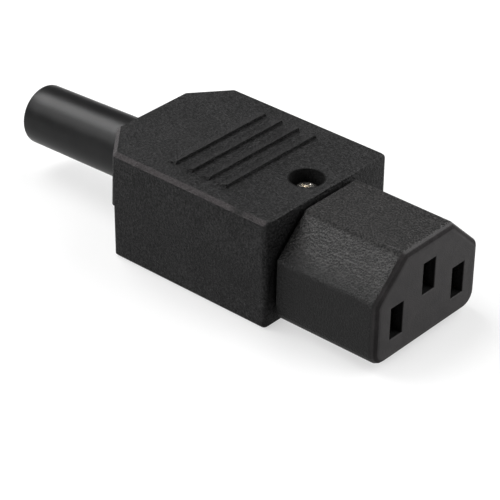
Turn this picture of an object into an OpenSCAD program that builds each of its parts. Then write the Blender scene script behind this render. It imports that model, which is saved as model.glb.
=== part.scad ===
// Rewireable C13 appliance connector: two screwed half shells hold a nose that
// carries three sprung sockets, and a soft sleeve guides the cord to its clamp.
// X runs from the sleeve to the nose, Z is up, and the origin lies on the
// underside, below the middle of the overall length.

/* [Body] */
// Length of the body, from its rear face to its front face
body_l = 34.8; // [34.6:0.1:40]
// Width of the body at the parting line
body_w = 27.4; // [27:0.1:31]
// Height of the body
body_h = 17.8; // [17.7:0.1:20]
// Length of the cut at each rear corner, along the body
cut_l = 5.2; // [4:0.1:6.4]
// Width of the cut at each rear corner, across the body
cut_w = 6.3; // [4:0.1:6.6]
// Radius of the upright corners
corner_r = 1; // [0.4:0.1:1]
// Height of the parting line above the body's middle
split_rise = 0.1; // [-0.1:0.1:0.4]
// Bevel round the sides and rear of the top face
top_bevel = 0.65; // [0.3:0.05:1]
// Bevel along the front of the top face
front_bevel = 0.2; // [0.2:0.05:0.6]
// Bevel round the underside
base_bevel = 0.4; // [0.2:0.1:0.6]
// Lean of the upper shell's walls in degrees
upper_lean = 1.4; // [0:0.1:2]
// Lean of the lower shell's walls in degrees
lower_lean = 0.6; // [0:0.1:1.5]

/* [Walls] */
// Thickness of the upper shell's side and rear walls
side_wall = 1.7; // [1.4:0.1:1.9]
// Thickness of the top and bottom walls
skin = 1.6; // [1.3:0.1:1.7]
// Thickness of the front wall that the nose hooks over
front_wall = 2.2; // [1.8:0.1:2.4]
// How far the upper shell stands out past the lower one
lip = 0.28; // [0.1:0.01:0.5]
// Thickness of the tongue on the lower shell
tongue_t = 0.7; // [0.5:0.1:0.8]
// Height of the tongue above the parting line
tongue_h = 1; // [0.6:0.1:1.2]
// Thickness of the inner ribs
rib_t = 1.2; // [1:0.1:1.4]

/* [Grips] */
// Number of ridges on top, and of grooves underneath
grip_count = 4; // [3:1:4]
// Pitch of the ridges
grip_pitch = 3.25; // [3:0.05:3.4]
// Length of each ridge across the body
grip_l = 20; // [16:0.5:21]
// Height of each ridge at its step, and depth of each groove
grip_rise = 0.5; // [0.2:0.05:0.6]
// Slope at each end of a ridge
grip_end = 0.2; // [0.1:0.05:0.6]
// Length of the ramp behind each step
grip_ramp = 1.8; // [1.4:0.1:2.9]
// Distance from the front face to the first step
grip_from_front = 10.55; // [10.2:0.05:12]

/* [Nose] */
// Length of the nose in front of the body
nose_l = 18.4; // [17.8:0.1:19.4]
// Width of the nose at its root
nose_w = 23.5; // [23.3:0.1:24]
// Height of the nose at its root
nose_h = 16.3; // [16:0.1:16.6]
// Width of the two cut upper corners of the nose
nose_cut_w = 6.2; // [5.4:0.1:6.4]
// Height of the two cut upper corners of the nose
nose_cut_h = 5.8; // [5.4:0.1:6.2]
// Radius of the nose's lower corners
nose_low_r = 2.5; // [2:0.1:3]
// Radius of the edge round the nose's end face
nose_edge_r = 1.1; // [0.5:0.1:1.3]
// Shadow gap between the body and the nose
nose_gap = 0.4; // [0.2:0.1:0.6]
// Bevel round the nose's rear edge
nose_root_bevel = 0.3; // [0.1:0.05:0.4]
// How much narrower each side is at the tip
nose_taper = 0.04; // [0:0.02:0.2]
// Thickness of the wall at the nose's end face
face_wall = 1.6; // [1.2:0.1:2]
// Width of the neck in the front wall
neck_w = 20.4; // [19.6:0.1:21]
// Thickness of the flange behind the front wall
flange_t = 2; // [1.6:0.1:2.2]
// Wall of the neck above the earth chamber
neck_roof = 0.6; // [0.5:0.05:0.6]
// Wall of the neck beside the earth chamber
neck_cheek = 2.4; // [2:0.1:2.8]
// Wall of the neck above the line and neutral chambers
neck_shoulder = 1; // [0.8:0.1:1.4]

/* [Sockets] */
// Distance from line to neutral
live_pitch = 14; // [13.8:0.05:14.2]
// Height of earth above line and neutral
earth_rise = 4; // [3.9:0.05:4.1]
// Height of line and neutral above the nose's underside
live_up = 6.15; // [6:0.05:6.3]
// Width of a slot inside its lead-in
slot_w = 2.7; // [2.4:0.05:2.8]
// Height of a slot inside its lead-in
slot_h = 5.1; // [4.6:0.1:5.2]
// Lead-in bevel round each slot
slot_lead = 0.1; // [0.05:0.05:0.2]
// Width of the chamber behind each slot
chamber_w = 4; // [3.8:0.1:4.2]
// Height of the chamber behind each slot
chamber_h = 4.7; // [4.65:0.05:4.8]
// Distance from the face wall back to the sockets' mouth
mouth_in = 1.6; // [1:0.1:2]
// Thickness of the brass sheet
sheet = 0.5; // [0.4:0.05:0.5]
// Height of a socket's leaves
leaf_h = 4; // [3.6:0.1:4]
// Length of a socket's leaves
leaf_l = 14.4; // [13:0.1:14.6]
// Gap where the leaves pinch the pin
pinch_gap = 1.6; // [1.4:0.05:1.7]
// Gap between the leaves at their root
root_gap = 2.6; // [2.2:0.1:2.8]
// Gap between the leaves at their mouth
mouth_gap = 2.7; // [2.4:0.1:2.9]
// Distance from the sockets' mouth back to the pinch
pinch_in = 1.3; // [1:0.1:1.6]
// Length over which the leaves spread from the pinch to their root
leaf_splay = 2.8; // [2:0.1:3.4]
// Width of a contact's tail
tail_w = 4.6; // [3.8:0.1:4.8]
// Thickness of the spring steel
spring_t = 0.3; // [0.2:0.05:0.3]
// Length of a spring along the socket
spring_l = 3; // [2:0.1:3.1]
// Play of a spring along the socket at each end
spring_play = 0.1; // [0.05:0.05:0.2]

/* [Terminals] */
// Length of a terminal block
block_l = 7; // [6:0.1:7.2]
// Width of a terminal block
block_w = 5.4; // [4.8:0.1:5.6]
// Height of a terminal block
block_h = 7.2; // [6.8:0.1:7.4]
// Bevel along the upper edges of a terminal block
block_bevel = 0.5; // [0.2:0.1:0.6]
// Distance from the sockets' chambers back to the line and neutral blocks
block_back = 2; // [1.8:0.1:2.1]
// How far the earth block stands behind the other two
earth_back = 5.7; // [5.5:0.1:5.8]
// Diameter of the hole for the wire
wire_d = 3.2; // [2.6:0.1:3.4]
// Height of the wire's hole above the block's foot
wire_up = 3; // [2.8:0.1:3.2]
// Thread diameter of the terminal screws
clamp_thread = 3; // [2.5:0.5:3]
// Head diameter of the terminal screws
terminal_head_d = 5; // [4.6:0.1:5.2]
// Head height of the terminal screws
terminal_head_h = 1.8; // [1.4:0.1:2]
// Diameter of the rivets
rivet_d = 1.8; // [1.4:0.1:2]
// Head diameter of the rivets
rivet_head_d = 3; // [2.6:0.1:3.2]
// Head height of the rivets
rivet_head_h = 0.6; // [0.4:0.05:0.8]
// Bevel of the rivets' heads
rivet_bevel = 0.25; // [0.1:0.05:0.4]
// Distance from a block's rear face forward to its rivet
rivet_in = 1.4; // [1.3:0.1:1.6]
// How far a rivet reaches into its block
rivet_grip = 1; // [0.6:0.1:1.1]
// Thickness of the tray's floor
tray_t = 1.6; // [1.4:0.1:1.7]
// Thickness of the walls between the terminals
barrier_t = 1; // [0.8:0.1:1]
// Height of the walls between the terminals above the tray's floor
barrier_h = 8; // [6:0.1:8.5]
// Height of the stops behind the blocks above the contacts' tails
stop_h = 1; // [0.6:0.1:1.4]
// Length of the tray behind the earth block
tray_end = 1.3; // [1.2:0.1:1.4]
// Gap between the tray and the posts of the cord clamp
tray_gap = 0.35; // [0.2:0.05:0.6]

/* [Case screw] */
// Distance from the front face back to the screw
screw_back = 4; // [3.9:0.05:4.4]
// Diameter of the sunk hole over the screw
well_d = 5.3; // [5:0.1:5.6]
// Depth of the sunk hole
well_depth = 3; // [2.8:0.1:3.1]
// Thickness of the tube round the sunk hole
well_wall = 1; // [0.8:0.05:1]
// Thread diameter of the case screw
case_thread = 2.5; // [2:0.5:2.5]
// Head diameter of the case screw
case_head_d = 4.2; // [4:0.1:4.6]
// Head height of the case screw
case_head_h = 1.5; // [1.3:0.1:1.7]
// Length of the case screw under its head
case_screw_l = 12; // [11:0.5:12]
// Outer diameter of the threaded insert
insert_d = 4; // [3.6:0.1:4.2]
// Length of the threaded insert
insert_l = 4; // [3:0.1:4]
// Wall of the boss round the insert
insert_wall = 1.3; // [1:0.1:1.4]
// Height of the insert above the tray's floor
insert_rise = 1.4; // [1:0.1:1.5]

/* [Cord entry] */
// Height of the cord's axis above the parting line
cord_rise = 0.3; // [0:0.1:0.5]
// Length of the sleeve behind the body
sleeve_l = 23.2; // [18:0.1:26]
// Diameter of the sleeve where it leaves the body
sleeve_d = 9.9; // [9.4:0.1:10.4]
// Diameter of the sleeve at its end
sleeve_end_d = 9.6; // [9:0.1:9.8]
// Bore of the sleeve
sleeve_bore = 7.4; // [6.6:0.1:7.6]
// Rounding of the sleeve's end
sleeve_rim_r = 0.5; // [0.4:0.1:0.9]
// Droop of the sleeve in degrees
sleeve_droop = 2.3; // [0:0.1:3]
// Diameter of the collar that holds the sleeve in the body
collar_d = 12.6; // [12:0.1:13.6]
// Thickness of the collar
collar_t = 1.6; // [1.2:0.1:1.8]
// Clearance round the sleeve in the rear wall, which lets it droop
sleeve_play = 0.3; // [0.3:0.05:0.4]
// Clearance round the cord in the ribs
cord_play = 0.5; // [0.3:0.1:0.8]

/* [Cord clamp] */
// Distance from the rear face forward to the clamp
clamp_in = 8.1; // [8:0.1:9]
// Width of the clamp along the cord
clamp_l = 5; // [4.4:0.1:5.2]
// Distance between the clamp screws
clamp_span = 15.2; // [14.8:0.1:15.6]
// Thickness of the clamp bar
clamp_t = 2; // [1.6:0.1:2.2]
// Thickness of the arch over the cord
arch_t = 1.8; // [1.4:0.1:2]
// Thread diameter of the clamp screws
clamp_screw_d = 2.9; // [2.6:0.1:3]
// Head diameter of the clamp screws
clamp_head_d = 5.2; // [4.8:0.1:5.4]
// Head height of the clamp screws
clamp_head_h = 1.8; // [1.4:0.1:2]
// Length of the clamp screws under their heads
clamp_screw_l = 9.5; // [8:0.5:9.5]
// Diameter of the posts that the clamp screws bite into
post_d = 5.4; // [5:0.1:5.6]
// Height of the posts above the parting line
post_rise = 1.5; // [1.2:0.1:2]
// How far the saddle rises round the cord
jaw_h = 2; // [1.4:0.1:2.2]
// Depth of the saddle's grooves
bite = 0.4; // [0.2:0.1:0.5]

/* [Fits] */
// Clearance between mouldings
fit = 0.15; // [0.1:0.01:0.2]
// Clearance between a screw and its thread
thread_fit = 0.02; // [0.01:0.01:0.04]
// Clearance round a screw that passes freely
screw_fit = 0.2; // [0.15:0.01:0.25]

/* [Hidden] */

$fn = 48;
arc_steps = 5;
sliver = 0.01;
past = 1;

shell_colour = [0.16, 0.16, 0.17];
carrier_colour = [0.27, 0.26, 0.26];
sleeve_colour = [0.13, 0.13, 0.14];
brass = [0.78, 0.62, 0.33];
steel = [0.72, 0.72, 0.7];

// Stations along the connector
x_nose = (nose_l + body_l + sleeve_l) / 2;
x_front = x_nose - nose_l;
x_rear = x_front - body_l;
x_tail = x_rear - sleeve_l;
x_screw = x_front - screw_back;
x_hook = x_front - front_wall;
x_flange = x_hook - fit - flange_t;
x_mouth = x_nose - face_wall - mouth_in;
x_pinch = x_mouth - pinch_in;
x_splay = x_pinch - spring_l - 2 * spring_play;
x_root = x_mouth - leaf_l;
x_block = x_screw - well_d / 2 - well_wall;
x_hinge = x_rear + side_wall + fit;
x_collar = x_hinge + collar_t;

// The terminals and the cord clamp share the room behind the sockets in the
// proportions of their sizes, so they move together when the body's length does
wanted = clamp_in + post_d / 2 + tray_gap + tray_end + earth_back + block_l + block_back;
share = (x_block - x_rear) / wanted;
block_run = share * block_l;
clamp_run = share * clamp_l;
post_w = share * post_d;
clamp_head_w = share * clamp_head_d;
x_clamp = x_rear + share * clamp_in;
x_live = x_block - share * block_back - block_run;
x_earth = x_live - share * earth_back;
x_tray = x_earth - share * tray_end;

// Levels above the underside
split_z = body_h / 2 + split_rise;
cord_z = split_z + cord_rise;
nose_z = (body_h - nose_h) / 2;
live_z = nose_z + live_up;
earth_z = live_z + earth_rise;
tray_top = live_z - leaf_h / 2;
tray_z = tray_top - tray_t;
well_z = body_h - well_depth;
neck_low = tray_z;
neck_high = earth_z + chamber_h / 2 + neck_roof;
seat_z = neck_high;
insert_top = tray_top + insert_rise;
post_top = split_z + post_rise;
rooted = skin / 2;
roof = body_h - skin;

tongue_in = side_wall + fit + tongue_t;
cavity_half = body_w / 2 - tongue_in;
cord_r = sleeve_bore / 2;
boss_d = insert_d + 2 * insert_wall;
live_y = live_pitch / 2;

// A point turned about the origin
function turned(p, angle) = [
    p.x * cos(angle) - p.y * sin(angle),
    p.x * sin(angle) + p.y * cos(angle)
];

// Arc that rounds corner b of an outline between its neighbours a and c
function round_corner(a, b, c, r) =
    let (
        to_a = (a - b) / norm(a - b),
        to_c = (c - b) / norm(c - b),
        half = acos(to_a * to_c) / 2,
        centre = b + (to_a + to_c) / norm(to_a + to_c) * r / sin(half),
        start = b + to_a * r / tan(half) - centre,
        sweep = (180 - 2 * half) * sign(cross(to_c, to_a))
    )
    [for (i = [0 : arc_steps]) centre + turned(start, sweep * i / arc_steps)];

// Outline with each corner rounded to its own radius
function rounded(points, radii) =
    let (last = len(points) - 1)
    [for (i = [0 : last])
        each radii[i] == 0
            ? [points[i]]
            : round_corner(
                points[i == 0 ? last : i - 1], points[i], points[i == last ? 0 : i + 1], radii[i]
            )];

// Plan of the body, moved in from the sides and rear, and from the front
function body_plan(side, front) =
    let (
        slant = norm([cut_l, cut_w]),
        half_w = body_w / 2 - side,
        cut_y = body_w / 2 - cut_w - side * (slant - cut_w) / cut_l,
        cut_x = x_rear + (side * slant + (cut_w - side) * cut_l) / cut_w,
        r = max(corner_r - side, corner_r / 2)
    )
    rounded(
        [
            [x_front - front, -half_w], [x_front - front, half_w],
            [cut_x, half_w], [x_rear + side, cut_y],
            [x_rear + side, -cut_y], [cut_x, -half_w]
        ],
        [r, r, r, r, r, r]
    );

// End view of the nose, moved in all round
function nose_view(inset) =
    let (
        slant = norm([nose_cut_w, nose_cut_h]),
        half_w = nose_w / 2 - inset,
        low = nose_z + inset,
        high = nose_z + nose_h - inset,
        cut_y = nose_w / 2 - nose_cut_w - inset * (slant - nose_cut_w) / nose_cut_h,
        cut_z = nose_z + nose_h - nose_cut_h - inset * (slant - nose_cut_h) / nose_cut_w,
        low_r = nose_low_r - inset,
        cut_r = corner_r
    )
    rounded(
        [[-half_w, low], [half_w, low], [half_w, cut_z], [cut_y, high], [-cut_y, high], [-half_w, cut_z]],
        [low_r, low_r, cut_r, cut_r, cut_r, cut_r]
    );

// End view of the neck, grown all round
function neck_view(grow) =
    let (
        half_w = neck_w / 2 + grow,
        low = neck_low - grow,
        high = neck_high + grow,
        top_y = chamber_w / 2 + neck_cheek + grow,
        side_z = live_z + chamber_h / 2 + neck_shoulder + grow
    )
    [
        [-half_w, low], [half_w, low], [half_w, side_z],
        [top_y, high], [-top_y, high], [-half_w, side_z]
    ];

// Extrudes an end view (Y, Z) forwards from x
module forwards(x, length) {
    translate([x, 0, 0])
        rotate([90, 0, 90])
            linear_extrude(length)
                children();
}

// Extrudes a side view (X, Z) across the middle of the body
module across(width) {
    translate([0, width / 2, 0])
        rotate([90, 0, 0])
            linear_extrude(width)
                children();
}

// Upright round bar from z0 to z1
module post(x, y, z0, z1, d) {
    translate([x, y, z0])
        cylinder(h = z1 - z0, d = d);
}

// Round bar along X from x0 to x1
module bar(x0, x1, y, z, d) {
    translate([x0, y, z])
        rotate([0, 90, 0])
            cylinder(h = x1 - x0, d = d);
}

// Box between two corners
module span(low, high) {
    translate(low)
        cube(high - low);
}

// Thin plan of the body at height z
module body_slice(z, side, front) {
    translate([0, 0, z])
        linear_extrude(sliver)
            polygon(body_plan(side, front));
}

// Louvres that rise from height z, added on top and cut underneath: each has a ramp,
// a step that faces the nose, and sloped ends
module grips(z) {
    for (i = [0 : grip_count - 1])
        translate([x_front - grip_from_front - i * grip_pitch, 0, z])
            hull() {
                span([-grip_ramp, -grip_l / 2, -past], [0, grip_l / 2, 0]);
                span([-sliver, grip_end - grip_l / 2, 0], [0, grip_l / 2 - grip_end, grip_rise]);
            }
}

// Space that the nose's neck needs in the front wall
module neck_hole(z0, z1) {
    intersection() {
        forwards(x_hook - past, front_wall + 2 * past)
            polygon(neck_view(fit));
        span([x_hook - past, -body_w, z0], [x_front + past, body_w, z1]);
    }
}

// Rib across the body with a round gap for the cord
module cord_rib(z0, z1) {
    difference() {
        intersection() {
            translate([0, 0, z0])
                linear_extrude(z1 - z0)
                    polygon(body_plan(tongue_in + fit, front_wall));
            span([x_collar, -body_w, z0], [x_collar + rib_t, body_w, z1]);
        }
        bar(x_collar - past, x_collar + rib_t + past, 0, cord_z, sleeve_bore + 2 * cord_play);
    }
}

module lower_shell() {
    foot = tan(lower_lean) * split_z;
    color(shell_colour)
    difference() {
        union() {
            difference() {
                union() {
                    hull() {
                        body_slice(0, lip + foot + base_bevel, base_bevel);
                        body_slice(base_bevel, lip + foot, 0);
                        body_slice(split_z - sliver, lip, 0);
                    }
                    translate([0, 0, split_z - past])
                        linear_extrude(tongue_h + past)
                            polygon(body_plan(side_wall + fit, front_wall));
                }
                translate([0, 0, skin])
                    linear_extrude(body_h)
                        polygon(body_plan(tongue_in, front_wall));
            }
            // Boss for the threaded insert
            post(x_screw, 0, rooted, insert_top, boss_d);
            // Posts for the clamp screws
            for (side = [-1, 1])
                post(x_clamp, side * clamp_span / 2, rooted, post_top, post_w);
            // Ribs under the tray, and one that locks the flange
            for (side = [-1, 1])
                span(
                    [x_live, side * live_y - rib_t / 2, rooted],
                    [x_flange - fit, side * live_y + rib_t / 2, tray_z]
                );
            span([x_flange - fit - rib_t, -cavity_half, rooted], [x_flange - fit, cavity_half, tray_z]);
            cord_rib(rooted, split_z);
        }
        neck_hole(neck_low - past, body_h);
        bar(x_rear - past, x_collar, 0, cord_z, sleeve_d + 2 * sleeve_play);
        bar(x_rear + side_wall, x_collar, 0, cord_z, collar_d + 2 * fit);
        post(x_screw, 0, insert_top - insert_l, body_h, insert_d);
        post(x_screw, 0, rooted, body_h, case_thread + 2 * thread_fit);
        for (side = [-1, 1])
            post(
                x_clamp, side * clamp_span / 2, post_top + clamp_t - clamp_screw_l - fit, body_h,
                clamp_screw_d + 2 * thread_fit
            );
        grips(0);
    }
}

module upper_shell() {
    shoulder = tan(upper_lean) * (split_z - top_bevel);
    color(shell_colour)
    difference() {
        union() {
            difference() {
                hull() {
                    body_slice(split_z, 0, 0);
                    body_slice(body_h - top_bevel, shoulder, 0);
                    body_slice(body_h - front_bevel, shoulder + top_bevel - front_bevel, 0);
                    body_slice(body_h - sliver, shoulder + top_bevel, front_bevel);
                }
                translate([0, 0, split_z - past])
                    linear_extrude(roof - split_z + past)
                        polygon(body_plan(side_wall, front_wall));
            }
            // Tube round the sunk screw, which bears on the carrier
            post(x_screw, 0, seat_z, roof + rooted, well_d + 2 * well_wall);
            // Rib that locks the flange
            span(
                [x_flange - fit - rib_t, -cavity_half, neck_high + fit],
                [x_flange - fit, cavity_half, roof + rooted]
            );
            cord_rib(split_z + fit, roof + rooted);
            grips(body_h);
        }
        neck_hole(-past, body_h);
        bar(x_rear - past, x_collar, 0, cord_z, sleeve_d + 2 * sleeve_play);
        bar(x_rear + side_wall, x_collar, 0, cord_z, collar_d + 2 * fit);
        post(x_screw, 0, well_z, body_h + past, well_d);
        post(x_screw, 0, seat_z - past, body_h, case_thread + 2 * screw_fit);
    }
}

// Slot through the nose's end face, with its lead-in
module slot(y, z) {
    span(
        [x_nose - face_wall - sliver, y - slot_w / 2, z - slot_h / 2],
        [x_nose + past, y + slot_w / 2, z + slot_h / 2]
    );
    hull() {
        span(
            [x_nose - slot_lead, y - slot_w / 2, z - slot_h / 2],
            [x_nose, y + slot_w / 2, z + slot_h / 2]
        );
        span(
            [x_nose, y - slot_w / 2 - slot_lead, z - slot_h / 2 - slot_lead],
            [x_nose + sliver, y + slot_w / 2 + slot_lead, z + slot_h / 2 + slot_lead]
        );
    }
}

// Chamber that a socket slides into from behind
module chamber(y, z) {
    span(
        [x_block - past, y - chamber_w / 2, z - chamber_h / 2],
        [x_nose - face_wall, y + chamber_w / 2, z + chamber_h / 2]
    );
}

// Flange that the shells lock behind their front walls
module flange() {
    low = skin + fit;
    high = body_h - skin - fit;
    half_w = cavity_half - fit;
    difference() {
        forwards(x_flange, flange_t)
            polygon([
                [-half_w, low], [half_w, low], [half_w, high - nose_cut_h], [half_w - nose_cut_w, high],
                [nose_cut_w - half_w, high], [-half_w, high - nose_cut_h]
            ]);
        post(x_screw, 0, seat_z, body_h, well_d + 2 * well_wall + 2 * fit);
    }
}

// Low stop behind a terminal block whose rear face is at x
module stop(x, y) {
    span(
        [x - fit - barrier_t, y - tail_w / 2, tray_top - past],
        [x - fit, y + tail_w / 2, tray_top + sheet + fit + stop_h]
    );
}

module contact_carrier() {
    color(carrier_colour)
    difference() {
        union() {
            // Nose with a bevel round its root and a rounded edge round its end face
            hull() {
                forwards(x_front + nose_gap, sliver)
                    polygon(nose_view(nose_root_bevel));
                forwards(x_front + nose_gap + nose_root_bevel, sliver)
                    polygon(nose_view(0));
                for (i = [0 : arc_steps])
                    forwards(x_nose - nose_edge_r * (1 - sin(90 * i / arc_steps)) - sliver, sliver)
                        polygon(nose_view(nose_taper + nose_edge_r * (1 - cos(90 * i / arc_steps))));
            }
            forwards(x_block, x_front + past - x_block)
                polygon(neck_view(0));
            flange();
            // Tray under the terminals
            span([x_tray, -neck_w / 2, tray_z], [x_block + past, neck_w / 2, tray_top]);
            for (side = [-1, 1]) {
                // Barriers between the terminals
                span(
                    [x_tray, side * live_y / 2 - barrier_t / 2, tray_top - past],
                    [x_block + past, side * live_y / 2 + barrier_t / 2, tray_top + barrier_h]
                );
                stop(x_live, side * live_y);
            }
            stop(x_earth, 0);
        }
        for (side = [-1, 1]) {
            slot(side * live_y, live_z);
            chamber(side * live_y, live_z);
        }
        slot(0, earth_z);
        chamber(0, earth_z);
        // Clearance for the insert's boss, the case screw and the rivets' heads
        post(x_screw, 0, -past, insert_top + fit, boss_d + 2 * fit);
        post(x_screw, 0, 0, body_h, case_thread + 2 * screw_fit);
        for (side = [-1, 1])
            post(x_live + rivet_in, side * live_y, -past, tray_top + past, rivet_head_d + 2 * fit);
        post(x_earth + rivet_in, 0, -past, tray_top + past, rivet_head_d + 2 * fit);
    }
}

// One sprung leaf of a socket, seen from above
module leaf(side) {
    inner = [
        [x_mouth, mouth_gap / 2], [x_pinch, pinch_gap / 2], [x_splay, pinch_gap / 2],
        [x_splay - leaf_splay, root_gap / 2], [x_root, root_gap / 2]
    ];
    outer = [for (i = [len(inner) - 1 : -1 : 0]) inner[i] + [0, sheet]];
    polygon([for (p = concat(inner, outer)) [p.x, p.y * side]]);
}

// Folded socket at height z, with the root that joins its leaves
module socket(y, z) {
    root_half = root_gap / 2 + sheet;
    translate([0, y, z - leaf_h / 2]) {
        for (side = [-1, 1])
            linear_extrude(leaf_h)
                leaf(side);
        span([x_root, -root_half, 0], [x_splay - leaf_splay, root_half, sheet]);
    }
}

// Line or neutral contact: its tail runs straight back along the tray
module live_contact(side) {
    y = side * live_y;
    color(brass)
    difference() {
        union() {
            socket(y, live_z);
            span(
                [x_live, y - chamber_w / 2 + fit, tray_top],
                [x_root + past, y + chamber_w / 2 - fit, tray_top + sheet]
            );
            span([x_live, y - tail_w / 2, tray_top], [x_block - fit, y + tail_w / 2, tray_top + sheet]);
        }
        post(x_live + rivet_in, y, 0, body_h, rivet_d);
    }
}

// Earth contact: its tail is pierced for the case screw and cranked down
module earth_contact() {
    low = tray_top;
    high = earth_z - leaf_h / 2;
    bend = x_block - fit;
    drop = high - low;
    crank = sheet * tan(45 / 2);
    color(brass)
    difference() {
        union() {
            socket(0, earth_z);
            across(chamber_w - 2 * fit)
                polygon([
                    [x_root + past, high], [x_root + past, high + sheet], [bend, high + sheet],
                    [bend - drop, low + sheet], [x_earth, low + sheet], [x_earth, low],
                    [bend - drop + crank, low], [bend + crank, high]
                ]);
        }
        post(x_screw, 0, high - past, high + past, case_thread + 2 * screw_fit);
        post(x_earth + rivet_in, 0, 0, body_h, rivet_d);
    }
}

// Steel clip that hugs a socket where its leaves pinch
module spring(y, z) {
    half = pinch_gap / 2 + sheet;
    foot = z - leaf_h / 2;
    top = z + leaf_h / 4;
    color(steel)
    forwards(x_splay + spring_play, spring_l)
        translate([y, 0])
            polygon([
                [-half - spring_t, foot - spring_t], [half + spring_t, foot - spring_t],
                [half + spring_t, top], [half, top], [half, foot],
                [-half, foot], [-half, top], [-half - spring_t, top]
            ]);
}

// Brass block that grips the wire's end
module terminal(x, y) {
    foot = tray_top + sheet;
    half_w = block_w / 2;
    ridge = half_w - block_bevel;
    color(brass)
    difference() {
        forwards(x, block_run)
            translate([y, foot])
                polygon([
                    [-half_w, 0], [half_w, 0], [half_w, block_h - block_bevel],
                    [ridge, block_h], [-ridge, block_h], [-half_w, block_h - block_bevel]
                ]);
        bar(x - past, x + block_run + past, y, foot + wire_up, wire_d);
        post(x + block_run / 2, y, foot + wire_up, body_h, clamp_thread + 2 * thread_fit);
        post(x + rivet_in, y, 0, foot + rivet_grip, rivet_d);
    }
}

// Domed head profile turned about Z, seated at z = 0
module domed_head(d, h) {
    brim = h * 0.35;
    crown = d / 2 * 0.55;
    rotate_extrude()
        polygon(concat(
            [[0, 0], [d / 2, 0], [d / 2, brim]],
            [for (i = [1 : arc_steps])
                let (a = 90 * i / arc_steps)
                [crown + (d / 2 - crown) * cos(a), brim + (h - brim) * sin(a)]],
            [[0, h]]
        ));
}

// Cross recess that narrows towards its bottom, open at z = h
module cross_recess(h, d) {
    arm = d * 0.27;
    deep = d * 0.5;
    foot_d = d * 0.5;
    translate([0, 0, h - deep])
        intersection() {
            cylinder(h = deep + past, d1 = foot_d, d2 = foot_d + (d - foot_d) * (deep + past) / deep);
            union() {
                span([-d, -arm / 2, 0], [d, arm / 2, deep + past]);
                span([-arm / 2, -d, 0], [arm / 2, d, deep + past]);
            }
        }
}

// Shank below z = 0 with a bevelled tip
module shank(d, length) {
    tip = d * 0.2;
    translate([0, 0, tip - length])
        cylinder(h = length - tip, d = d);
    translate([0, 0, -length])
        cylinder(h = tip, d1 = d - 2 * tip, d2 = d);
}

// Pan-head screw with a cross recess, its head seated at z = 0
module cross_screw(head_d, head_h, d, length) {
    difference() {
        union() {
            domed_head(head_d, head_h);
            shank(d, length);
        }
        cross_recess(head_h, head_d * 0.6);
    }
}

// Cheese-head screw with a slot, its head seated at z = 0
module slotted_screw(head_d, head_h, d, length) {
    slot_t = head_d * 0.16;
    slot_z = head_h * 0.45;
    bevel = head_h * 0.1;
    difference() {
        union() {
            cylinder(h = head_h - bevel, d = head_d);
            translate([0, 0, head_h - bevel])
                cylinder(h = bevel, d1 = head_d, d2 = head_d - 2 * bevel);
            shank(d, length);
        }
        span([-head_d, -slot_t / 2, slot_z], [head_d, slot_t / 2, head_h + past]);
    }
}

module terminal_screws() {
    top = tray_top + sheet + block_h;
    reach = block_h - wire_up;
    color(steel) {
        for (side = [-1, 1])
            translate([x_live + block_run / 2, side * live_y, top])
                slotted_screw(terminal_head_d, terminal_head_h, clamp_thread, reach);
        translate([x_earth + block_run / 2, 0, top])
            slotted_screw(terminal_head_d, terminal_head_h, clamp_thread, reach);
    }
}

// Rivet that stakes a block to its tail, seated under the tail
module rivet(x, y) {
    translate([x, y, tray_top]) {
        cylinder(h = sheet + rivet_grip, d = rivet_d);
        translate([0, 0, -rivet_head_h])
            cylinder(h = rivet_head_h, d1 = rivet_head_d - 2 * rivet_bevel, d2 = rivet_head_d);
    }
}

module terminal_rivets() {
    color(brass) {
        for (side = [-1, 1])
            rivet(x_live + rivet_in, side * live_y);
        rivet(x_earth + rivet_in, 0);
    }
}

module case_insert() {
    color(brass)
    difference() {
        post(x_screw, 0, insert_top - insert_l, insert_top, insert_d);
        post(x_screw, 0, 0, body_h, case_thread + 2 * thread_fit);
    }
}

module case_screw() {
    color(steel)
    translate([x_screw, 0, well_z])
        cross_screw(case_head_d, case_head_h, case_thread, case_screw_l);
}

module clamp_saddle() {
    half_w = clamp_span / 2 - post_w / 2 - fit;
    groove_pitch = clamp_run / 3;
    groove_l = groove_pitch / 2;
    color(carrier_colour)
    difference() {
        span(
            [x_clamp - clamp_run / 2, -half_w, skin],
            [x_clamp + clamp_run / 2, half_w, cord_z - cord_r + jaw_h]
        );
        bar(x_clamp - clamp_run, x_clamp + clamp_run, 0, cord_z, sleeve_bore);
        // Grooves that leave ridges to bite the cord
        for (x = [x_clamp - groove_pitch, x_clamp, x_clamp + groove_pitch])
            bar(x - groove_l / 2, x + groove_l / 2, 0, cord_z, sleeve_bore + 2 * bite);
    }
}

module cord_clamp() {
    reach = clamp_span / 2 + post_w / 2;
    crown = cord_r + arch_t;
    color(carrier_colour)
    difference() {
        union() {
            span(
                [x_clamp - clamp_run / 2, -reach, post_top],
                [x_clamp + clamp_run / 2, reach, post_top + clamp_t]
            );
            intersection() {
                bar(x_clamp - clamp_run / 2, x_clamp + clamp_run / 2, 0, cord_z, 2 * crown);
                span([x_clamp - clamp_run, -crown, post_top], [x_clamp + clamp_run, crown, body_h]);
            }
        }
        bar(x_clamp - clamp_run, x_clamp + clamp_run, 0, cord_z, sleeve_bore);
        for (side = [-1, 1])
            post(x_clamp, side * clamp_span / 2, 0, body_h, clamp_screw_d + 2 * screw_fit);
    }
}

module clamp_screws() {
    color(steel)
    for (side = [-1, 1])
        translate([x_clamp, side * clamp_span / 2, post_top + clamp_t])
            cross_screw(clamp_head_w, clamp_head_h, clamp_screw_d, clamp_screw_l);
}

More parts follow.
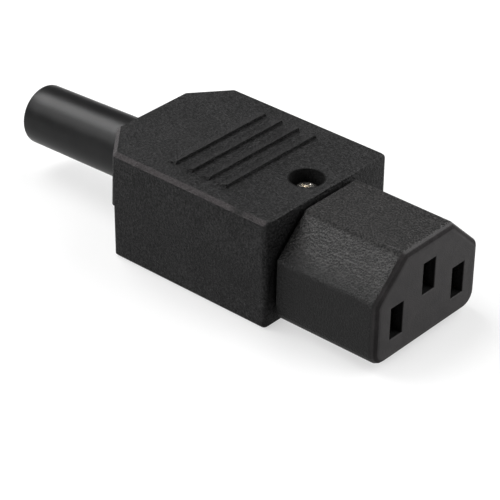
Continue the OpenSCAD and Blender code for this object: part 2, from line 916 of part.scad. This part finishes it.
module cord_sleeve() {
    end_r = sleeve_end_d / 2;
    rim = sleeve_rim_r;
    tip_run = x_hinge - x_tail - rim - (end_r - rim) * sin(sleeve_droop);
    length = rim + tip_run / cos(sleeve_droop);
    color(sleeve_colour)
    union() {
        // Square collar between the rear wall and the ribs
        difference() {
            bar(x_hinge, x_hinge + collar_t, 0, cord_z, collar_d);
            bar(x_hinge - past, x_hinge + collar_t + past, 0, cord_z, sleeve_bore + 2 * fit);
        }
        // Tapered tube that droops from the collar
        translate([x_hinge, 0, cord_z])
            rotate([0, -90 - sleeve_droop, 0])
                rotate_extrude()
                    polygon(concat(
                        [
                            [cord_r, length], [cord_r, -collar_t / 2],
                            [sleeve_d / 2, -collar_t / 2], [sleeve_d / 2, side_wall]
                        ],
                        [for (i = [0 : arc_steps])
                            let (a = 90 * i / arc_steps)
                            [end_r - rim + rim * cos(a), length - rim + rim * sin(a)]]
                    ));
    }
}

lower_shell();
upper_shell();
contact_carrier();
live_contact(-1);  // line_contact
live_contact(1);  // neutral_contact
earth_contact();
spring(-live_y, live_z);  // line_spring
spring(live_y, live_z);  // neutral_spring
spring(0, earth_z);  // earth_spring
terminal(x_live, -live_y);  // line_terminal
terminal(x_live, live_y);  // neutral_terminal
terminal(x_earth, 0);  // earth_terminal
terminal_screws();
terminal_rivets();
case_insert();
case_screw();
clamp_saddle();
cord_clamp();
clamp_screws();
cord_sleeve();
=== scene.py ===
"""Rewireable C13 power connector: the look of its shells, nose, sleeve, screws and brass."""

import math

import bpy
from mathutils import Matrix, Vector


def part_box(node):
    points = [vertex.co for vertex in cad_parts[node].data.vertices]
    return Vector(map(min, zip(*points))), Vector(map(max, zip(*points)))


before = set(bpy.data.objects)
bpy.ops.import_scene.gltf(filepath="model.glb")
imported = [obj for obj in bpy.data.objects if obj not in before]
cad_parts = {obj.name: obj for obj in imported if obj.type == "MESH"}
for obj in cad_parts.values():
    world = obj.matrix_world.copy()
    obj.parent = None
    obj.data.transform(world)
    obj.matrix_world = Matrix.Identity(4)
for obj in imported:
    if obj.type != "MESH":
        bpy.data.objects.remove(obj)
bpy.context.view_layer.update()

# Lower shell
# The bottom half of the housing, moulded in black filled nylon. Its tool was
# bead-blasted, so the surface is finely frosted, and its edges are a little rounded.


class Shade:
    """A socket of a material's node tree that takes ordinary arithmetic."""

    def __init__(self, tree, socket):
        self.tree = tree
        self.socket = socket

    def node(self, kind, settings=None, output=0, **inputs):
        """Adds a node: its settings first, then its inputs by name, as values or sockets."""
        made = self.tree.nodes.new(kind)
        for name, value in (settings or {}).items():
            setattr(made, name, value)
        for name, value in inputs.items():
            numbered = name[0] == "_" and name[1:].isdigit()
            key = int(name[1:]) if numbered else name.replace("_", " ")
            if isinstance(value, Shade):
                self.tree.links.new(value.socket, made.inputs[key])
            else:
                made.inputs[key].default_value = value
        return Shade(self.tree, made.outputs[output])

    def maths(self, operation, *values):
        inputs = {f"_{i}": value for i, value in enumerate(values)}
        return self.node("ShaderNodeMath", {"operation": operation}, **inputs)

    def __add__(self, other):
        return self.maths("ADD", self, other)

    def __radd__(self, other):
        return self.maths("ADD", other, self)

    def __sub__(self, other):
        return self.maths("SUBTRACT", self, other)

    def __rsub__(self, other):
        return self.maths("SUBTRACT", other, self)

    def __mul__(self, other):
        return self.maths("MULTIPLY", self, other)

    def __rmul__(self, other):
        return self.maths("MULTIPLY", other, self)

    def __abs__(self):
        return self.maths("ABSOLUTE", self)

    def axis(self, name):
        """One coordinate of a point, X, Y or Z."""
        return self.node("ShaderNodeSeparateXYZ", output=name, _0=self)

    def ramp(self, low, high):
        """0 at low, 1 at high, smooth between them and held outside."""
        return self.node(
            "ShaderNodeMapRange",
            {"interpolation_type": "SMOOTHSTEP"},
            Value=self, From_Min=low, From_Max=high,
        )

    def blend(self, first, second):
        """From the first colour to the second, each given as three numbers or as a socket."""
        ends = [end if isinstance(end, Shade) else (*end, 1) for end in (first, second)]
        return self.node(
            "ShaderNodeMix", {"data_type": "RGBA"}, output=2, _0=self, _6=ends[0], _7=ends[1]
        )

    def noise(self, size, detail=2.0, rough=0.5):
        """Soft noise with features of that size in metres."""
        return self.node(
            "ShaderNodeTexNoise", Vector=self, Scale=1 / size, Detail=detail, Roughness=rough
        )

    def pits(self, size):
        """Distance to the nearest of the scattered points, which lie that far apart in metres."""
        return self.node("ShaderNodeTexVoronoi", Vector=self, Scale=1 / size)


def material(name):
    """A new material: the material, its surface shader, and the point being shaded."""
    made = bpy.data.materials.new(name)
    made.use_nodes = True
    tree = made.node_tree
    shader = tree.nodes["Principled BSDF"]
    point = Shade(tree, None).node("ShaderNodeTexCoord", output="Object")
    return made, shader, point


def drive(shader, name, value):
    """Sets an input of the surface shader: a number stays on it, a socket is linked."""
    if isinstance(value, Shade):
        value.tree.links.new(value.socket, shader.inputs[name])
    else:
        shader.inputs[name].default_value = value


def bumps(height, depth):
    """Surface normal from a height between 0 and 1 that is worth that depth in metres."""
    return height.node("ShaderNodeBump", Height=height, Distance=depth, Strength=1.0)


def dress(node, finish, edge=0.0):
    """Gives a CAD node its material and, where edge is set, rounds its sharp edges by that."""
    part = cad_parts[node]
    part.data.materials.clear()
    part.data.materials.append(finish)
    if edge:
        # The faces of a CAD mesh are joined first, because an open crease takes no rounding.
        seams = part.modifiers.new("seams", "WELD")
        seams.merge_threshold = 0.0000002
        rounding = part.modifiers.new("edges", "BEVEL")
        rounding.width = edge
        rounding.segments = 2
        rounding.limit_method = "ANGLE"
        rounding.angle_limit = math.radians(25)


def frosted_nylon(name, gloss, pale_band_z, front_x, hole_x):
    """Frosted nylon, painted paler on the bevel above the given height (a painted highlight
    together with rubbed wear), but not in front or in the hole, which is painted black as shade.
    """
    finish, shader, point = material(name)
    frost = point.noise(0.0004, detail=4, rough=0.7)
    grit = point.pits(0.00045)
    specks = point.noise(0.00028, detail=3, rough=0.6)
    cloud = point.noise(0.005, detail=2)
    along = point.axis("X")
    aside = point.axis("Y")
    up = point.axis("Z")

    # The screw's sunk hole is painted black and dull down to its floor: painted shade in the
    # recess.
    wall_r = 0.00275
    rim_r = 0.0029
    off = along - hole_x
    hole_shade = 1 - (off * off + aside * aside).ramp(wall_r ** 2, rim_r ** 2)

    # The paler band on the bevel is a painted highlight together with rubbed wear, and it ends
    # short of the front face.
    bevel = up.ramp(pale_band_z - 0.00003, pale_band_z + 0.00006)
    bevel = bevel * (1 - up.ramp(pale_band_z + 0.00055, pale_band_z + 0.00064))
    behind_front = 1 - along.ramp(front_x - 0.0005, front_x - 0.0003)
    rubbed_and_highlight = bevel * behind_front * (1 - hole_shade) * cloud.ramp(0.2, 0.5)

    mottle = (0.9 * specks + 0.1 * cloud).ramp(0.42, 0.62)
    nylon = mottle.blend((0.001, 0.001, 0.0011), (0.022, 0.0216, 0.022))
    surface = rubbed_and_highlight.blend(nylon, (0.034, 0.030, 0.031))
    drive(shader, "Base Color", hole_shade.blend(surface, (0.0005, 0.0005, 0.0005)))
    drive(shader, "Roughness", 0.40 + 0.16 * frost - 0.07 * rubbed_and_highlight + 0.3 * hole_shade)
    drive(shader, "Normal", bumps(0.7 * frost + 0.3 * grit, 0.0003))
    drive(shader, "Specular IOR Level", gloss)
    return finish


moulded_edge = 0.00012
base_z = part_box("lower_shell")[0].z
shell_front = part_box("upper_shell")[1].x
screw_x = 0.5 * (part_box("case_screw")[0].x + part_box("case_screw")[1].x)
# Half of the pale band, a painted highlight with rubbed wear, lies below the base, so only the
# lowest 0.3 mm is painted paler.
lower_nylon = frosted_nylon("lower_nylon", 0.25, base_z - 0.0003, shell_front, screw_x)
dress("lower_shell", lower_nylon, edge=moulded_edge)

# Case insert
# The threaded brass bush in the lower shell's boss, which the case screw pulls on.
# It is turned from bar, so its brass is bright with a fine grain.


def turned_brass():
    """Bright brass with a fine grain."""
    finish, shader, point = material("turned_brass")
    grain = point.noise(0.0004, detail=4, rough=0.6)
    drive(shader, "Metallic", 1.0)
    drive(shader, "Base Color", grain.ramp(0.3, 0.7).blend((0.72, 0.53, 0.25), (0.83, 0.65, 0.36)))
    drive(shader, "Roughness", 0.24 + 0.14 * grain)
    drive(shader, "Normal", bumps(grain, 0.000004))
    return finish


brass = turned_brass()
dress("case_insert", brass)

# Cord sleeve
# The soft tube that guides the cord and keeps it from kinking. It is moulded in
# smooth black flexible plastic with a soft gloss.


def soft_pvc():
    """Smooth black plastic with slow waves in its gloss."""
    finish, shader, point = material("soft_pvc")
    waves = point.noise(0.003, detail=3)
    fine = point.noise(0.00025, detail=2)
    tone = waves.ramp(0.3, 0.7).blend((0.0032, 0.0032, 0.0034), (0.0064, 0.0064, 0.0066))
    drive(shader, "Base Color", tone)
    drive(shader, "Roughness", 0.31 + 0.1 * waves)
    drive(shader, "Normal", bumps(0.6 * waves + 0.4 * fine, 0.00002))
    drive(shader, "Specular IOR Level", 0.33)
    return finish


dress("cord_sleeve", soft_pvc(), edge=0.0002)

# Contact carrier
# The nose and the terminals' tray in one moulding. The nose's sides are coarsely
# spark-grained, and its end face is smoother and a little browner.


def grained_nylon(face_x):
    """Grained nylon whose smooth end face is at face_x."""
    finish, shader, point = material("grained_nylon")
    grain = point.noise(0.00026, detail=3, rough=0.65)
    cells = point.pits(0.00032)
    fine = point.noise(0.0002, detail=3)
    clouds = point.noise(0.0022, detail=3, rough=0.6)
    along = point.axis("X")
    across = abs(point.axis("Y"))
    up = point.axis("Z")

    # The end face starts at its rounded edge, which is duller than the rest.
    on_face = along.ramp(face_x - 0.001, face_x - 0.0006)
    round_edge = along.ramp(face_x - 0.0005, face_x - 0.0003)
    round_edge = round_edge * (1 - along.ramp(face_x - 0.0001, face_x - 0.00002))

    # The top folds down to the cut corners 5.55 mm from the middle, and is duller there.
    fold_y = 0.00555
    fold = across.ramp(fold_y - 0.00025, fold_y - 0.00005)
    fold = fold * (1 - across.ramp(fold_y + 0.00025, fold_y + 0.00085)) * up.ramp(0.015, 0.0155)

    # The pale specks fade out towards the upright sides, 11.75 mm from the middle, which paints
    # the sides darker: painted shade.
    flank_shade = across.ramp(0.0090, 0.0118)

    # Behind the face and well inside its outline lie the slots' walls, which are painted black:
    # painted shade in the slots.
    within = (1 - across.ramp(0.0090, 0.0095)) * up.ramp(0.0018, 0.0022)
    within = within * (1 - (up + 0.45 * across).ramp(0.0158, 0.0162))
    slot_shade = within * (1 - along.ramp(face_x - 0.00015, face_x - 0.00005))

    height = grain * 0.3 + cells * 0.7
    relief = on_face.node(
        "ShaderNodeMix", {"data_type": "FLOAT"}, _0=on_face, _2=height, _3=0.35 * fine
    )
    specks = (0.5 * height + 0.5 * fine).ramp(0.4, 0.6) * (1 - 0.85 * flank_shade)
    side = specks.blend((0.001, 0.001, 0.001), (0.026, 0.0248, 0.0244))
    mottle = (0.5 * fine + 0.5 * clouds).ramp(0.35, 0.65)
    face = mottle.blend((0.010, 0.0086, 0.0090), (0.022, 0.0196, 0.0200))
    surface = on_face.blend(side, face)
    dulled = 0.06 * flank_shade + 0.45 * round_edge + (1 - on_face) * 0.3 * fold + 0.4 * slot_shade
    drive(shader, "Base Color", slot_shade.blend(surface, (0.0005, 0.0005, 0.0005)))
    drive(shader, "Roughness", 0.36 + 0.2 * grain + dulled)
    drive(shader, "Normal", bumps(relief, 0.00014))
    drive(shader, "Specular IOR Level", 0.37)
    return finish


grained = grained_nylon(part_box("contact_carrier")[1].x)
dress("contact_carrier", grained, edge=moulded_edge)

# Contacts
# Three folded brass sockets, each with two sprung leaves that grip a flat pin.
# The rolled strip is bright.
for name in ("line_contact", "neutral_contact", "earth_contact"):
    dress(name, brass)

# Springs
# Steel clips that press the leaves of each socket together.
# They are bare spring steel, a little greyer than the screws.


def bright_steel(name, tint, rough):
    """Steel of that tint and roughness, with faint marks in its gloss."""
    finish, shader, point = material(name)
    marks = point.noise(0.0009, detail=3, rough=0.6)
    drive(shader, "Metallic", 1.0)
    drive(shader, "Base Color", marks.ramp(0.3, 0.7).blend([0.82 * c for c in tint], tint))
    drive(shader, "Roughness", rough + 0.14 * marks)
    drive(shader, "Normal", bumps(marks, 0.00004))
    return finish


spring_steel = bright_steel("spring_steel", (0.62, 0.62, 0.62), 0.28)
for name in ("line_spring", "neutral_spring", "earth_spring"):
    dress(name, spring_steel)

# Terminals and rivets
# Brass blocks, drilled across for the wire and tapped for its screw. A brass
# rivet stakes each block to its contact's tail.
for name in ("line_terminal", "neutral_terminal", "earth_terminal", "terminal_rivets"):
    dress(name, brass)

# Screws and cord clamp
# Zinc-plated steel screws hold the wires, the clamp and the case. The arched bar
# and the loose jaw that grip the cord are of the carrier's grained nylon.
zinc = bright_steel("zinc_plate", (0.92, 0.89, 0.84), 0.18)
for name in ("terminal_screws", "clamp_screws", "case_screw"):
    dress(name, zinc)
for name in ("clamp_saddle", "cord_clamp"):
    dress(name, grained)

# Upper shell
# The top half, in the same frosted nylon, with raised louvre grips and the screw's
# sunk hole. The bevel round its top is painted paler: a painted highlight together with rubbed
# wear.
grip_rise = 0.0005
top_bevel = 0.00065
rim_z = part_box("upper_shell")[1].z - grip_rise
upper_nylon = frosted_nylon("upper_nylon", 0.262, rim_z - top_bevel, shell_front, screw_x)
dress("upper_shell", upper_nylon, edge=moulded_edge)

# Floor
# A plain white sheet that the connector lies on, wide enough to fill every view.
# It glows a little, which keeps the shadows soft.


def white_paper():
    """Matt white that gives off part of its light itself."""
    finish, shader, point = material("white_paper")
    tone = point.noise(0.05).blend((0.19, 0.19, 0.19), (0.21, 0.21, 0.21))
    drive(shader, "Base Color", tone)
    drive(shader, "Emission Color", (1, 1, 1, 1))
    drive(shader, "Emission Strength", 0.62)
    drive(shader, "Roughness", 0.7)
    return finish


reach = 6
corners = [(-reach, -reach, 0), (reach, -reach, 0), (reach, reach, 0), (-reach, reach, 0)]
floor_mesh = bpy.data.meshes.new("floor")
floor_mesh.from_pydata(corners, [], [(0, 1, 2, 3)])
floor = bpy.data.objects.new("floor", floor_mesh)
floor.data.materials.append(white_paper())
bpy.context.scene.collection.objects.link(floor)

# Lights
# A dim white room with five round boxes 2.1 m away. The key stands behind the sleeve, two
# boxes light the bevels and the long side, and a big one on the right lights the floor.
world = bpy.data.worlds.new("room")
world.use_nodes = True
world.node_tree.nodes["Background"].inputs["Color"].default_value = (1, 1, 1, 1)
world.node_tree.nodes["Background"].inputs["Strength"].default_value = 0.25
bpy.context.scene.world = world
bpy.context.scene.view_settings.view_transform = "Standard"
bpy.context.scene.view_settings.gamma = 0.8
lamp_distance = 2.1


def soft_box(name, towards, power, size=1.05):
    """A round lamp in that direction that faces the connector, its power in watts."""
    lamp = bpy.data.lights.new(name, "AREA")
    lamp.shape = "DISK"
    lamp.size = size
    lamp.energy = power
    box = bpy.data.objects.new(name, lamp)
    box.location = lamp_distance * Vector(towards).normalized()
    box.rotation_euler = (-Vector(towards)).to_track_quat("-Z", "Y").to_euler()
    bpy.context.scene.collection.objects.link(box)


soft_box("key", (-0.55, -0.03, 0.84), 47.7, size=1.5)
soft_box("upper_left", (-0.55, -0.53, 0.64), 18, size=1.4)
soft_box("left", (-0.2, -0.9, 0.35), 31)
soft_box("rear", (-0.95, 0.31, 0.08), 7.7, size=1.2)
soft_box("right", (0.5, 0.7, 0.5), 108, size=3.4)

# Camera
# It looks down at the nose and the long side from the front left, through a long lens.
nose_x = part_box("contact_carrier")[1].x
azimuth = math.radians(40.636)
elevation = math.radians(32.201)
roll = math.radians(1.016)
distance = 0.334075
target = Vector((nose_x - 0.033668, 0.000959, 0.000391))
level = math.cos(elevation)
back = Vector((math.sin(azimuth) * level, -math.cos(azimuth) * level, math.sin(elevation)))
right = Vector((math.cos(azimuth), math.sin(azimuth), 0))
up = back.cross(right)
turned_right = math.cos(roll) * right + math.sin(roll) * up
turned_up = math.cos(roll) * up - math.sin(roll) * right
lens = bpy.data.cameras.new("camera")
lens.sensor_width = 36
lens.lens = 160.4
camera = bpy.data.objects.new("camera", lens)
pose = Matrix((turned_right, turned_up, back)).transposed().to_4x4()
pose.translation = target + back * distance
camera.matrix_world = pose
bpy.context.scene.collection.objects.link(camera)
bpy.context.scene.camera = camera
